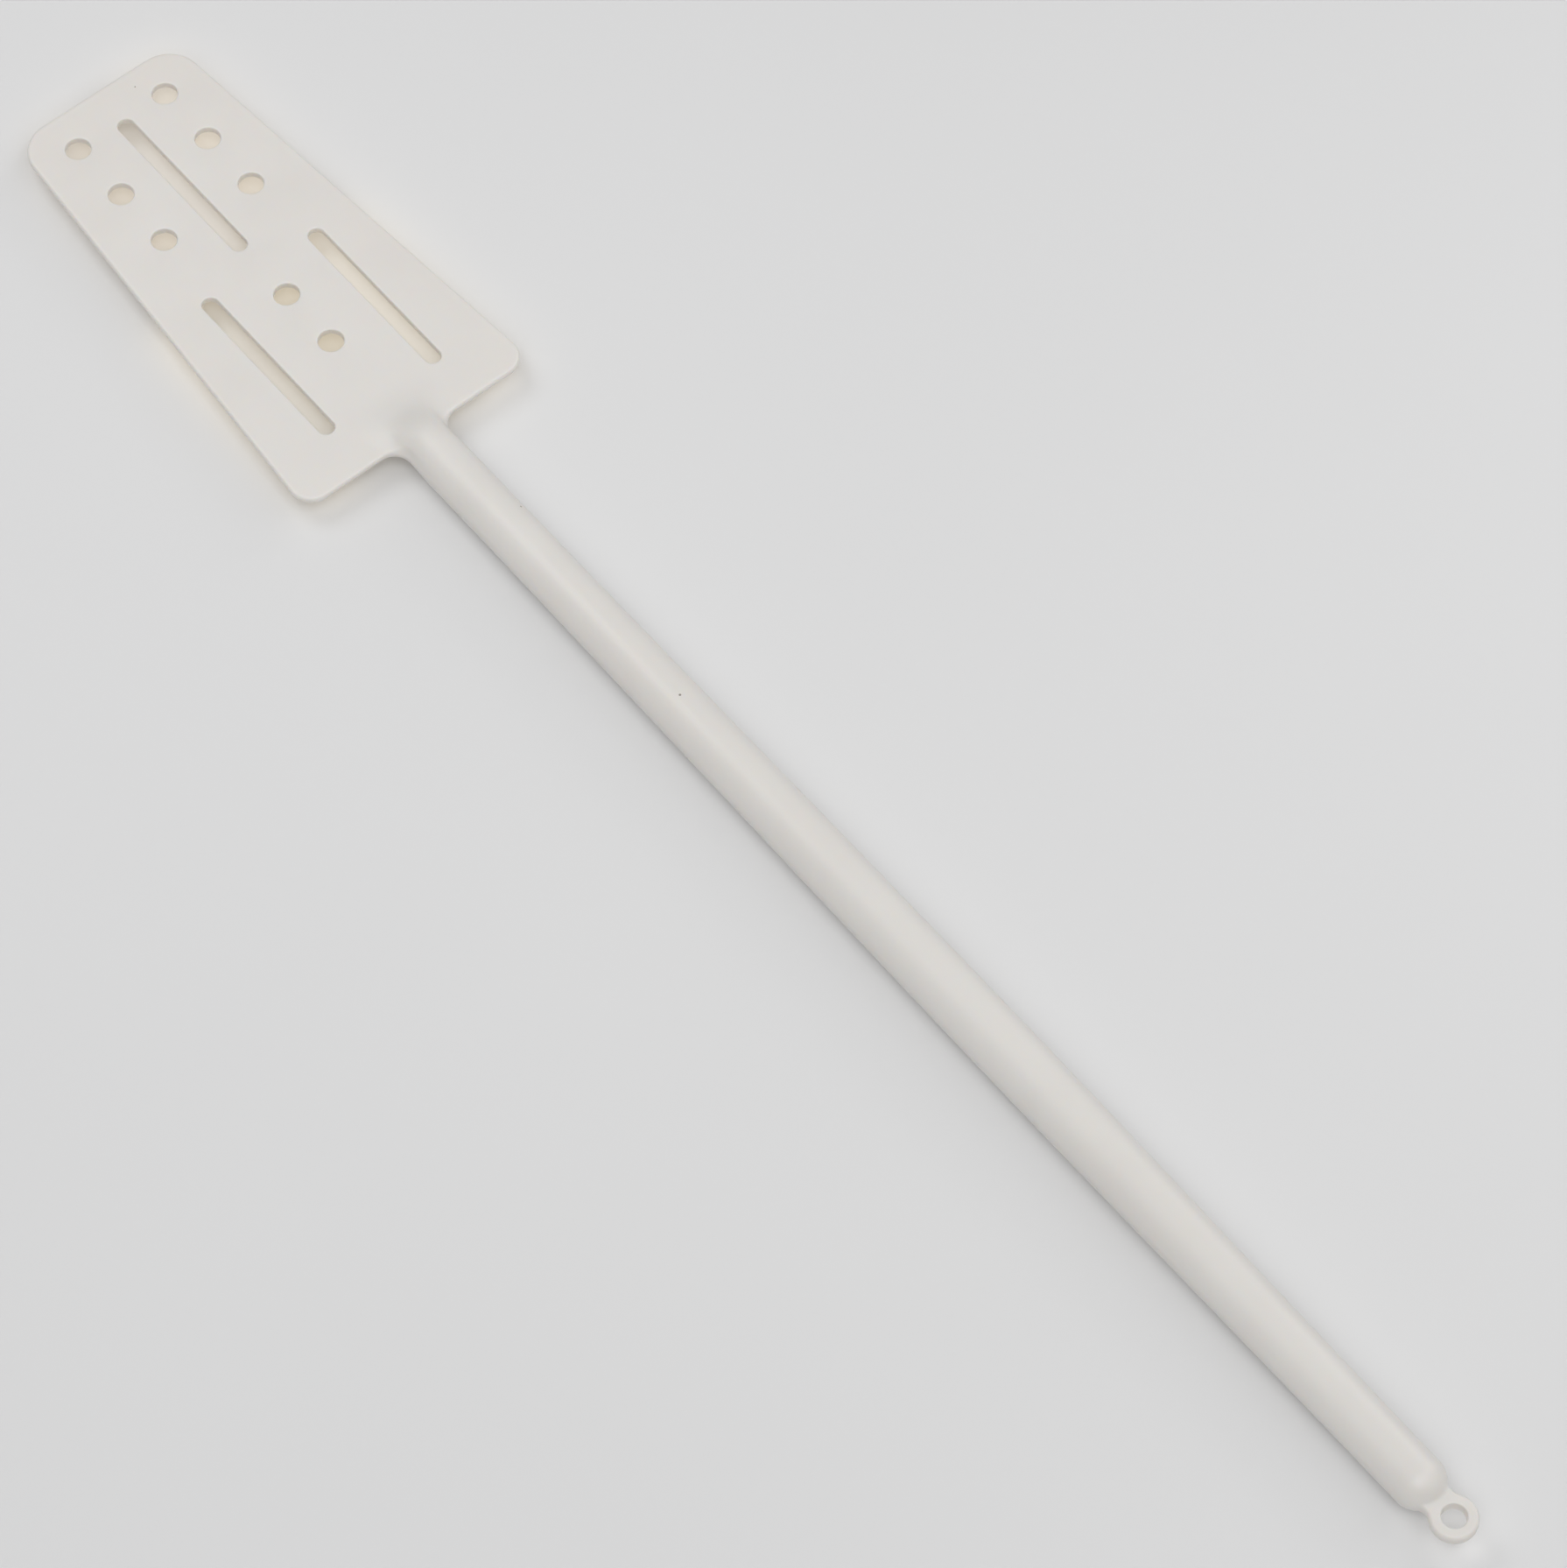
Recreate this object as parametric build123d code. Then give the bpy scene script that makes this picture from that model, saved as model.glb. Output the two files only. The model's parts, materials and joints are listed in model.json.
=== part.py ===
from build123d import *
import os
from math import sqrt

# Stirring paddle for a brewing or stock pot, lying flat, in millimetres.
# +X runs along the handle from the blade tip to the hanging eye, +Y across the blade, +Z up.
# The origin is on the surface the paddle lies on, under the middle of its length.

# Overall
LENGTH = 610.0            # blade tip to the far side of the hanging eye
SWELL_R = 8.8             # largest handle radius, which is what touches the surface
AXIS_Z = SWELL_R          # height of the handle axis and of the blade's middle plane

# Blade
TIP_WIDTH = 59.0
SHOULDER_WIDTH = 83.0
BLADE_LENGTH = 158.5      # tip to shoulder
BLADE_THICK = 2.6
TIP_CORNER_R = 11.0
SHOULDER_CORNER_R = 7.0
BLADE_EDGE_R = 0.9

# Round flow holes: two rows of three near the tip, one row of two near the shoulder
HOLE_R = 3.9
HOLE_PITCH = 21.4
SIDE_ROW_Y = 16.1
SIDE_ROW_START = 13.7     # tip to the first hole of each side row
MIDDLE_ROW_START = 95.2   # tip to the first hole of the middle row

# Flow slots: one on the middle line between the side rows, one each side of the middle row
SLOT_WIDTH = 5.2
SLOT_LENGTH = 61.0
MIDDLE_SLOT_START = 13.4
SIDE_SLOT_START = 81.4
SIDE_SLOT_Y = 19.6

# Neck, where the flat blade grows into the round handle
NECK_FILLET_R = 5.5
RAMP_START = 145.0        # where the handle's top begins to rise out of the blade
RAMP_START_R = 0.8
RAMP_MIDDLE = ((152.0, 3.4), (158.5, 6.0), (166.0, 7.5))   # places and heights on the way up
HANDLE_START = 180.0
NECK_R = 7.8

# Handle
SWELL_PLACE = 420.0       # tip to the thickest place of the grip
END_R = 7.9
DOME_APEX = 597.0         # tip to the end of the domed handle end

# Hanging eye
EYE_R = 6.8
EYE_HOLE_R = 3.6
EYE_THICK = 4.0
EYE_EDGE_R = 1.1
WAIST_FILLET_R = 4.0      # hollow between the domed end and the ring, seen from above
WAIST_INSET = 0.25        # how far the hollow starts inside the dome

# Stiffening core: a steel tube moulded into the handle, closed by a plug at each end
CORE_R = 4.0
CORE_WALL = 1.0
CORE_START = 172.5
CORE_END = 560.0
PLUG_STEM = 10.0
PLUG_FLANGE = 1.5

DOME_CENTRE = DOME_APEX - END_R
EYE_CENTRE = LENGTH - EYE_R


def at(from_tip, y=0.0, z=0.0):
    """Place measured from the blade tip, in the part's own frame."""
    return Location((from_tip - LENGTH / 2, y, AXIS_Z + z))


def turned(profile_edges):
    """Solid of revolution about the handle axis, from edges drawn in X and radius."""
    face = Plane.XZ * make_face(profile_edges)
    return at(0) * revolve(face, Axis.X)


def rod(start, end, radius):
    """Round rod along the handle axis."""
    return at((start + end) / 2) * Rot(0, 90, 0) * Cylinder(radius, end - start)


def flat_plate(outline, thickness, edge_radius):
    """Plate about the middle plane with rounded rims, from an outline measured from the tip."""
    plate = extrude(outline, thickness / 2, both=True)
    rims = plate.faces().sort_by(Axis.Z)[0].edges() + plate.faces().sort_by(Axis.Z)[-1].edges()
    return at(0) * fillet(rims, edge_radius)


def blade_outline():
    """Tapered blade with rounded corners, running into the neck by concave fillets."""
    neck_half = sqrt(NECK_R ** 2 - (BLADE_THICK / 2) ** 2)
    half = [(0, TIP_WIDTH / 2), (BLADE_LENGTH, SHOULDER_WIDTH / 2),
            (BLADE_LENGTH, neck_half), (HANDLE_START - 1, neck_half)]
    mirrored = [(x, -y) for x, y in reversed(half)]
    face = make_face(Polyline(*half, *mirrored, close=True))
    corners = ((0, TIP_WIDTH / 2, TIP_CORNER_R),
               (BLADE_LENGTH, SHOULDER_WIDTH / 2, SHOULDER_CORNER_R),
               (BLADE_LENGTH, neck_half, NECK_FILLET_R))
    for x, y, radius in corners:
        picked = [v for v in face.vertices() if abs(v.X - x) < 0.01 and abs(abs(v.Y) - y) < 0.01]
        face = fillet(picked, radius)
    return face


def flow_holes():
    """Cutters for the round holes."""
    places = [(SIDE_ROW_START + i * HOLE_PITCH, side * SIDE_ROW_Y) for side in (-1, 1) for i in range(3)]
    places += [(MIDDLE_ROW_START + i * HOLE_PITCH, 0) for i in range(2)]
    return [at(x, y) * Cylinder(HOLE_R, 4 * BLADE_THICK) for x, y in places]


def flow_slots():
    """Cutters for the long slots."""
    starts = [(MIDDLE_SLOT_START, 0), (SIDE_SLOT_START, -SIDE_SLOT_Y), (SIDE_SLOT_START, SIDE_SLOT_Y)]
    slot = extrude(SlotOverall(SLOT_LENGTH, SLOT_WIDTH), 2 * BLADE_THICK, both=True)
    return [at(x + SLOT_LENGTH / 2, y) * slot for x, y in starts]


def make_blade():
    """Flat blade with its flow holes, and the neck that rises to the full round handle."""
    plate = flat_plate(blade_outline(), BLADE_THICK, BLADE_EDGE_R)
    rise = Spline((RAMP_START, RAMP_START_R), *RAMP_MIDDLE, (HANDLE_START, NECK_R),
                  tangents=[(1, 0.06), (1, 0.0)])
    profile = [rise,
               Line((HANDLE_START, NECK_R), (HANDLE_START, 0)),
               Line((HANDLE_START, 0), (RAMP_START, 0)),
               Line((RAMP_START, 0), (RAMP_START, RAMP_START_R))]
    body = plate + turned(profile)
    for cutter in flow_holes() + flow_slots():
        body -= cutter
    return body - rod(CORE_START - PLUG_FLANGE, HANDLE_START + 1, CORE_R)


def make_handle():
    """Round handle that swells gently towards the grip, hollow where the core lies."""
    swell = Spline((HANDLE_START, NECK_R), (SWELL_PLACE, SWELL_R), (DOME_CENTRE, END_R),
                   tangents=[(1, 0), (1, 0), (1, 0)])
    profile = [swell,
               Line((DOME_CENTRE, END_R), (DOME_CENTRE, 0)),
               Line((DOME_CENTRE, 0), (HANDLE_START, 0)),
               Line((HANDLE_START, 0), (HANDLE_START, NECK_R))]
    return turned(profile) - rod(HANDLE_START - 1, CORE_END + PLUG_FLANGE, CORE_R)


def waist():
    """Web between dome and ring, narrowed by a hollow on each side, from an outline measured from the tip."""
    span = EYE_CENTRE - DOME_CENTRE
    to_dome = END_R - WAIST_INSET + WAIST_FILLET_R
    to_ring = EYE_R + WAIST_FILLET_R
    along = (to_dome ** 2 - to_ring ** 2 + span ** 2) / (2 * span)
    across = sqrt(to_dome ** 2 - along ** 2)
    start = 0.35 * along
    start_half = across * start / along
    hollow_x = DOME_CENTRE + along
    web = make_face(Polyline((DOME_CENTRE + start, start_half), (hollow_x, across), (EYE_CENTRE, 0),
                             (hollow_x, -across), (DOME_CENTRE + start, -start_half), close=True))
    for side in (-1, 1):
        web -= Pos(hollow_x, side * across) * Circle(WAIST_FILLET_R)
    return web


def make_hanging_eye():
    """Domed handle end with a flat waist and the ring the paddle hangs by."""
    ring = Pos(EYE_CENTRE, 0) * Circle(EYE_R)
    eye = flat_plate(waist() + ring, EYE_THICK, EYE_EDGE_R)
    dome = at(DOME_CENTRE) * Sphere(END_R)
    behind = at(DOME_CENTRE - END_R) * Box(2 * END_R, 4 * END_R, 4 * END_R)
    return dome - behind + eye - at(EYE_CENTRE) * Cylinder(EYE_HOLE_R, 2 * EYE_THICK)


def make_core_tube():
    """Steel tube that keeps the hot handle straight."""
    return rod(CORE_START, CORE_END, CORE_R) - rod(CORE_START - 1, CORE_END + 1, CORE_R - CORE_WALL)


def make_core_plug(mouth, inwards):
    """Plug with a flange over the tube's mouth and a stem inside it."""
    flange_end = mouth - inwards * PLUG_FLANGE
    stem_end = mouth + inwards * PLUG_STEM
    flange = rod(min(mouth, flange_end), max(mouth, flange_end), CORE_R)
    stem = rod(min(mouth, stem_end), max(mouth, stem_end), CORE_R - CORE_WALL)
    return flange + stem


nodes = {
    "blade": make_blade(),
    "handle": make_handle(),
    "hanging_eye": make_hanging_eye(),
    "core_tube": make_core_tube(),
    "core_plug_blade_end": make_core_plug(CORE_START, 1),
    "core_plug_eye_end": make_core_plug(CORE_END, -1),
}

os.makedirs("parts", exist_ok=True)
for name, shape in nodes.items():
    export_step(shape, f"parts/{name}.step")
    print(name, "volume", round(shape.volume / 1000, 2), "cm3", "solids", len(shape.solids()))
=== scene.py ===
# %% [markdown]
# # A long stirring paddle, moulded in one piece
# The object is a kitchen and brewing tool about 61 cm long: a flat tapered blade pierced by round
# holes and long slots, a round handle that swells a little where the hand goes, and a small flat ring
# to hang it by. Everything that can be seen is one moulding in ivory plastic. A design file already
# holds its exact sizes, so this lesson starts by loading that file, and then builds the fine surface
# that a quick design model leaves out: rounded rims, soft fillets, and a finish with some life in it.

# %% Load the design model as a fixed frame
import json
import math
import bmesh
import bpy
import numpy as np
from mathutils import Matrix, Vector
from mathutils.geometry import delaunay_2d_cdt


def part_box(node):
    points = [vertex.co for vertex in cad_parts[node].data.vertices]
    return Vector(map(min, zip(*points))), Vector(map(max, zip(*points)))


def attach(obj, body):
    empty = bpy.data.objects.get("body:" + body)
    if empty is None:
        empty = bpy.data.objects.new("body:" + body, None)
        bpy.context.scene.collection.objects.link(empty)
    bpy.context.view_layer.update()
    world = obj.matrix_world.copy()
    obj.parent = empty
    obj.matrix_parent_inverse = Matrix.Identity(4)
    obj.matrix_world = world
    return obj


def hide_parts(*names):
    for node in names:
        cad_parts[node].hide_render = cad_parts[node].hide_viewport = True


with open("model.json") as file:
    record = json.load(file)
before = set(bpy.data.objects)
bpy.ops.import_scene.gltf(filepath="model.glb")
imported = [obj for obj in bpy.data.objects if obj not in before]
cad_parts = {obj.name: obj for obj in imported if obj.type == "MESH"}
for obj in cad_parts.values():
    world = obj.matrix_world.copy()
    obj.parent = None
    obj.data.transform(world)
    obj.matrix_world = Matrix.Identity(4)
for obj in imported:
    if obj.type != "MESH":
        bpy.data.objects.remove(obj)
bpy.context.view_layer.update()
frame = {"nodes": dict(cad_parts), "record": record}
record = frame["record"]
MM = 0.001
print("design nodes:", sorted(frame["nodes"]))

# %% [markdown]
# ## Sizes
# Places come from the design model: its boxes, its hanging hole and the boxes of its openings. The few
# numbers below are the radii and thicknesses that shape the surface between those places. They are in
# millimetres, with X counted from the blade's tip, because a maker thinks of a paddle that way.

# %% Read the places and name the sizes
blade_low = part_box("blade")[0]
handle_low, handle_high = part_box("handle")
eye_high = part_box("hanging_eye")[1]
hanging_hole = record["mounts"][0]
TIP_X = blade_low.x
AXIS_Z = hanging_hole["pos_m"][2]


def from_tip(x_metres):
    """Millimetres from the blade's tip."""
    return (x_metres - TIP_X) / MM


LENGTH = from_tip(eye_high.x)
HANDLE_START = from_tip(handle_low.x)
DOME_CENTRE = from_tip(handle_high.x)
EYE_CENTRE = from_tip(hanging_hole["pos_m"][0])
EYE_R = LENGTH - EYE_CENTRE
EYE_HOLE_R = hanging_hole["dims"]["r_mm"]
EYE_HALF = hanging_hole["dims"]["length_mm"] / 2
END_R = eye_high.y / MM

TIP_WIDTH, SHOULDER_WIDTH, BLADE_LENGTH = 59.0, 83.0, 158.5
TIP_CORNER_R, SHOULDER_CORNER_R, NECK_FILLET_R = 11.0, 7.0, 5.5
BLADE_HALF = 1.3                          # half the blade's thickness
NECK_R = 7.8                              # the handle where it leaves the blade
SWELL_PLACE, SWELL_R = 420.0, 8.8         # where the handle is thickest
RAMP_START, RAMP_END = 140.0, 172.0       # where the handle rises out of the blade
WAIST_FILLET_R = 4.0                      # hollow between the domed end and the ring
HOLE_R, SLOT_LENGTH, SLOT_WIDTH = 3.9, 61.0, 5.2
print(f"length {LENGTH:.1f} mm, end radius {END_R:.2f}, eye radius {EYE_R:.2f}")

# %% [markdown]
# ## Camera
# The paddle lies on a table with its blade at the far left. The camera looks down steeply from the
# right of the handle with a long lens, from nearly two metres away, so that the far end shrinks only
# a little. The camera is made first, so that every test render from here on shows the same view.

# %% Place the camera
CAMERA_TURN = math.radians(50.48)
CAMERA_LEAN = math.radians(30.50)         # away from straight down
CAMERA_DISTANCE = 1.8412
AIM = Vector((0.0079, 0.01007, 0.0))

camera_data = bpy.data.cameras.new("camera")
camera_data.sensor_width = 36.0
camera_data.lens = 149.3
camera_data.clip_end = 20.0
camera = bpy.data.objects.new("camera", camera_data)
back = Vector((math.sin(CAMERA_TURN) * math.sin(CAMERA_LEAN),
               -math.cos(CAMERA_TURN) * math.sin(CAMERA_LEAN),
               math.cos(CAMERA_LEAN)))
camera.location = AIM + back * CAMERA_DISTANCE
camera.rotation_euler = back.to_track_quat("Z", "Y").to_euler()
bpy.context.scene.collection.objects.link(camera)
bpy.context.scene.camera = camera
print("camera at", [round(v, 3) for v in camera.location])

# %% [markdown]
# ## Shared finish effects
# Three small effects are used by more than one material, so each is a node group that is built once.
# *Mould grain* gives the faint unevenness that a mould leaves, *rub marks* are the hairline scratches
# of a tool that has been washed and stirred with, and *specks* are the odd dark fleck that recycled or
# regrind plastic shows. A group hands out only masks and heights; the shader itself stays in the material.

# %% Helpers for node trees
def add_node(tree, kind, place, **settings):
    """Adds a node at a grid place, and sets its properties and numbered or named inputs."""
    node = tree.nodes.new(kind)
    node.location = (place[0] * 200, -place[1] * 180)
    for key, value in settings.items():
        if hasattr(node, key):
            setattr(node, key, value)
        else:
            node.inputs[key.replace("_", " ")].default_value = value
    return node


def math_node(tree, operation, place, first=None, second=None, clamp=False):
    """A Math node, with numbers or sockets as its two inputs."""
    node = add_node(tree, "ShaderNodeMath", place, operation=operation, use_clamp=clamp)
    for slot, value in enumerate((first, second)):
        if isinstance(value, (int, float)):
            node.inputs[slot].default_value = value
        elif value is not None:
            tree.links.new(value, node.inputs[slot])
    return node.outputs[0]


def range_node(tree, value, low, high, to_low, to_high, place, kind="LINEAR"):
    """A Map Range node from low..high to to_low..to_high."""
    node = add_node(tree, "ShaderNodeMapRange", place, interpolation_type=kind)
    tree.links.new(value, node.inputs["Value"])
    for name, number in (("From Min", low), ("From Max", high), ("To Min", to_low), ("To Max", to_high)):
        if isinstance(number, (int, float)):
            node.inputs[name].default_value = number
        else:
            tree.links.new(number, node.inputs[name])
    return node.outputs[0]


def new_group(name, inputs, outputs, kind="ShaderNodeTree"):
    """A node group with named sockets. inputs and outputs are lists of (name, socket type, default)."""
    group = bpy.data.node_groups.new(name, kind)
    for direction, sockets in (("INPUT", inputs), ("OUTPUT", outputs)):
        for label, socket_type, default in sockets:
            socket = group.interface.new_socket(name=label, in_out=direction, socket_type=socket_type)
            if default is not None:
                socket.default_value = default
    return group


print("helpers for node trees are ready")

# %% Build the three effects
def build_mould_grain():
    """Height of a moulded skin: slow waves with a fine grain on top, and a mask of slow blotches."""
    group = new_group("mould_grain",
                      [("Vector", "NodeSocketVector", None), ("Wave Scale", "NodeSocketFloat", 40.0),
                       ("Grain Scale", "NodeSocketFloat", 900.0), ("Grain Share", "NodeSocketFloat", 0.05)],
                      [("Height", "NodeSocketFloat", None), ("Blotch", "NodeSocketFloat", None)])
    start = add_node(group, "NodeGroupInput", (0, 0))
    wave = add_node(group, "ShaderNodeTexNoise", (1, 0), Detail=1.0, Roughness=0.4)
    grain = add_node(group, "ShaderNodeTexNoise", (1, 1), Detail=2.0, Roughness=0.6)
    blotch = add_node(group, "ShaderNodeTexNoise", (1, 2), Scale=14.0, Detail=4.0, Roughness=0.6)
    for node in (wave, grain, blotch):
        group.links.new(start.outputs["Vector"], node.inputs["Vector"])
    group.links.new(start.outputs["Wave Scale"], wave.inputs["Scale"])
    group.links.new(start.outputs["Grain Scale"], grain.inputs["Scale"])
    fine = math_node(group, "MULTIPLY", (2, 1), grain.outputs["Fac"], start.outputs["Grain Share"])
    height = math_node(group, "ADD", (3, 0), wave.outputs["Fac"], fine)
    spread = range_node(group, blotch.outputs["Fac"], 0.38, 0.62, 0.0, 1.0, (3, 2), "SMOOTHSTEP")
    end = add_node(group, "NodeGroupOutput", (4, 0))
    group.links.new(height, end.inputs["Height"])
    group.links.new(spread, end.inputs["Blotch"])
    return group


def build_rub_marks():
    """Mask of hairline scratches: three sets of stretched noise at different angles, cut to thin lines."""
    group = new_group("rub_marks",
                      [("Vector", "NodeSocketVector", None), ("Scale", "NodeSocketFloat", 60.0),
                       ("Amount", "NodeSocketFloat", 0.5)],
                      [("Mask", "NodeSocketFloat", None)])
    start = add_node(group, "NodeGroupInput", (0, 0))
    lines = []
    for row, (turn, stretch) in enumerate(((0.35, 26.0), (-0.9, 34.0), (1.9, 30.0))):
        turned = add_node(group, "ShaderNodeMapping", (1, row), vector_type="POINT")
        turned.inputs["Rotation"].default_value = (0.15 * row, 0.1, turn)
        turned.inputs["Scale"].default_value = (1.0, stretch, stretch)
        group.links.new(start.outputs["Vector"], turned.inputs["Vector"])
        noise = add_node(group, "ShaderNodeTexNoise", (2, row), Detail=3.0, Roughness=0.7)
        group.links.new(turned.outputs["Vector"], noise.inputs["Vector"])
        group.links.new(start.outputs["Scale"], noise.inputs["Scale"])
        away = math_node(group, "ABSOLUTE", (4, row),
                         math_node(group, "SUBTRACT", (3, row), noise.outputs["Fac"], 0.5))
        lines.append(range_node(group, away, 0.0, 0.012, 1.0, 0.0, (5, row)))
    patch = add_node(group, "ShaderNodeTexNoise", (2, 3), Scale=22.0, Detail=2.0)
    group.links.new(start.outputs["Vector"], patch.inputs["Vector"])
    where = range_node(group, patch.outputs["Fac"], 0.5, 0.68, 0.0, 1.0, (5, 3), "SMOOTHSTEP")
    crossed = math_node(group, "MAXIMUM", (6, 1), lines[0], lines[1])
    crossed = math_node(group, "MAXIMUM", (6, 0), crossed, lines[2])
    mask = math_node(group, "MULTIPLY", (7, 0), crossed, where)
    mask = math_node(group, "MULTIPLY", (8, 0), mask, start.outputs["Amount"], clamp=True)
    end = add_node(group, "NodeGroupOutput", (9, 0))
    group.links.new(mask, end.inputs["Mask"])
    return group


def build_specks():
    """Mask of rare tiny flecks: the middles of a few randomly picked Voronoi cells."""
    group = new_group("specks",
                      [("Vector", "NodeSocketVector", None), ("Scale", "NodeSocketFloat", 160.0),
                       ("Size", "NodeSocketFloat", 0.06), ("Share", "NodeSocketFloat", 0.04)],
                      [("Mask", "NodeSocketFloat", None)])
    start = add_node(group, "NodeGroupInput", (0, 0))
    cells = add_node(group, "ShaderNodeTexVoronoi", (1, 0))
    group.links.new(start.outputs["Vector"], cells.inputs["Vector"])
    group.links.new(start.outputs["Scale"], cells.inputs["Scale"])
    parts = add_node(group, "ShaderNodeSeparateColor", (2, 1))
    group.links.new(cells.outputs["Color"], parts.inputs["Color"])
    picked = math_node(group, "LESS_THAN", (3, 1), parts.outputs["Red"], start.outputs["Share"])
    size = math_node(group, "MULTIPLY", (3, 2), parts.outputs["Green"], start.outputs["Size"])
    dot = math_node(group, "LESS_THAN", (4, 0), cells.outputs["Distance"], size)
    mask = math_node(group, "MULTIPLY", (5, 0), dot, picked)
    end = add_node(group, "NodeGroupOutput", (6, 0))
    group.links.new(mask, end.inputs["Mask"])
    return group


mould_grain = build_mould_grain()
rub_marks = build_rub_marks()
specks = build_specks()
print("effects:", [g.name for g in (mould_grain, rub_marks, specks)])

# %% [markdown]
# ## The ivory plastic
# A paddle like this is moulded in polypropylene or nylon without a strong dye, so it is a warm white
# that lets a little light in. A plain white Principled shader looks like paint. What makes it plastic is
# a little subsurface scattering, a clear but not sharp gloss that varies where the skin has been rubbed,
# slow waves that bend the highlight along the handle, and the thin witness line where the two halves
# of the mould meet, which here is the plane through the handle's axis.

# %% Ivory plastic material
def principled(name, place=(8, 0)):
    """An empty material with its Principled shader and its Object coordinates."""
    material = bpy.data.materials.new(name)
    material.use_nodes = True
    tree = material.node_tree
    shader = tree.nodes["Principled BSDF"]
    shader.location = (place[0] * 200, -place[1] * 180)
    coordinates = add_node(tree, "ShaderNodeTexCoord", (0, 0))
    return material, tree, shader, coordinates.outputs["Object"]


def effect(tree, group, vector, place, **values):
    """Places a shared effect in a material, with its own values."""
    node = add_node(tree, "ShaderNodeGroup", place, node_tree=group)
    tree.links.new(vector, node.inputs["Vector"])
    for key, value in values.items():
        node.inputs[key.replace("_", " ")].default_value = value
    return node


def mix_colour(tree, mask, first, second, place):
    """Mixes two colours, given as socket or RGBA, by a mask."""
    node = add_node(tree, "ShaderNodeMix", place, data_type="RGBA")
    tree.links.new(mask, node.inputs["Factor"])
    for slot, value in ((6, first), (7, second)):
        if isinstance(value, tuple):
            node.inputs[slot].default_value = value
        else:
            tree.links.new(value, node.inputs[slot])
    return node.outputs[2]


def bump(tree, height, distance, strength, place, under=None):
    """A Bump node, on top of another one if given."""
    node = add_node(tree, "ShaderNodeBump", place, Strength=strength, Distance=distance)
    tree.links.new(height, node.inputs["Height"])
    if under is not None:
        tree.links.new(under, node.inputs["Normal"])
    return node.outputs["Normal"]


IVORY_DEEP, IVORY_PALE = (0.806, 0.781, 0.747, 1), (0.818, 0.797, 0.765, 1)
FLECK_BROWN = (0.32, 0.28, 0.23, 1)
WITNESS_HALF_WIDTH = 0.00016


def build_ivory():
    material, tree, shader, where = principled("ivory_plastic")
    grain = effect(tree, mould_grain, where, (2, 0), Wave_Scale=38.0, Grain_Scale=1400.0, Grain_Share=0.02)
    rubs = effect(tree, rub_marks, where, (2, 1), Scale=110.0, Amount=0.5)
    flecks = effect(tree, specks, where, (2, 2), Scale=150.0, Size=0.055, Share=0.3)

    clean = mix_colour(tree, grain.outputs["Blotch"], IVORY_DEEP, IVORY_PALE, (4, 0))
    flecked = mix_colour(tree, flecks.outputs["Mask"], clean, FLECK_BROWN, (5, 0))
    tree.links.new(flecked, shader.inputs["Base Color"])

    worn = range_node(tree, grain.outputs["Blotch"], 0.0, 1.0, 0.36, 0.42, (4, 1))
    scuffed = math_node(tree, "ADD", (6, 1), worn,
                        math_node(tree, "MULTIPLY", (5, 1), rubs.outputs["Mask"], 0.18), clamp=True)
    tree.links.new(scuffed, shader.inputs["Roughness"])

    parts = add_node(tree, "ShaderNodeSeparateXYZ", (1, 4))
    tree.links.new(where, parts.inputs["Vector"])
    above_line = math_node(tree, "SUBTRACT", (2, 4), parts.outputs["Z"], AXIS_Z)
    off_line = math_node(tree, "ABSOLUTE", (3, 4), above_line)
    witness = range_node(tree, off_line, 0.0, WITNESS_HALF_WIDTH, 1.0, 0.0, (4, 4), "SMOOTHSTEP")
    waves = bump(tree, grain.outputs["Height"], 0.0011, 0.28, (5, 3))
    scratched = bump(tree, rubs.outputs["Mask"], -0.00002, 0.5, (6, 3), waves)
    lined = bump(tree, witness, 0.00008, 0.6, (7, 3), scratched)
    tree.links.new(lined, shader.inputs["Normal"])

    shader.inputs["Subsurface Weight"].default_value = 0.4
    shader.inputs["Subsurface Radius"].default_value = (1.0, 0.75, 0.5)
    shader.inputs["Subsurface Scale"].default_value = 0.002
    shader.inputs["IOR"].default_value = 1.49
    return material


ivory = build_ivory()
print("ivory nodes:", len(ivory.node_tree.nodes))

# %% [markdown]
# ## The materials inside the handle
# The steel tube and its two plugs are buried in the handle and are never seen, but a part that is
# taken apart or cut open should still look right. Drawn tube has fine lines along its length, so its
# noise is stretched along X. The plugs are the same kind of plastic, dull from a simple mould.

# %% Steel and plug plastic
def build_drawn_steel():
    material, tree, shader, where = principled("core_steel")
    stretched = add_node(tree, "ShaderNodeMapping", (1, 0), vector_type="POINT")
    stretched.inputs["Scale"].default_value = (6.0, 1500.0, 1500.0)
    tree.links.new(where, stretched.inputs["Vector"])
    lines = add_node(tree, "ShaderNodeTexNoise", (2, 0), Scale=1.0, Detail=3.0, Roughness=0.6)
    tree.links.new(stretched.outputs["Vector"], lines.inputs["Vector"])
    marks = effect(tree, rub_marks, where, (2, 1), Scale=50.0, Amount=0.4)
    tint = mix_colour(tree, lines.outputs["Fac"], (0.50, 0.51, 0.53, 1), (0.66, 0.67, 0.69, 1), (4, 0))
    tree.links.new(tint, shader.inputs["Base Color"])
    dull = range_node(tree, lines.outputs["Fac"], 0.3, 0.7, 0.24, 0.42, (4, 1))
    marked = math_node(tree, "ADD", (5, 1), dull, marks.outputs["Mask"], clamp=True)
    tree.links.new(marked, shader.inputs["Roughness"])
    tree.links.new(bump(tree, lines.outputs["Fac"], 0.00003, 0.3, (5, 2)), shader.inputs["Normal"])
    shader.inputs["Metallic"].default_value = 1.0
    return material


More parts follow.
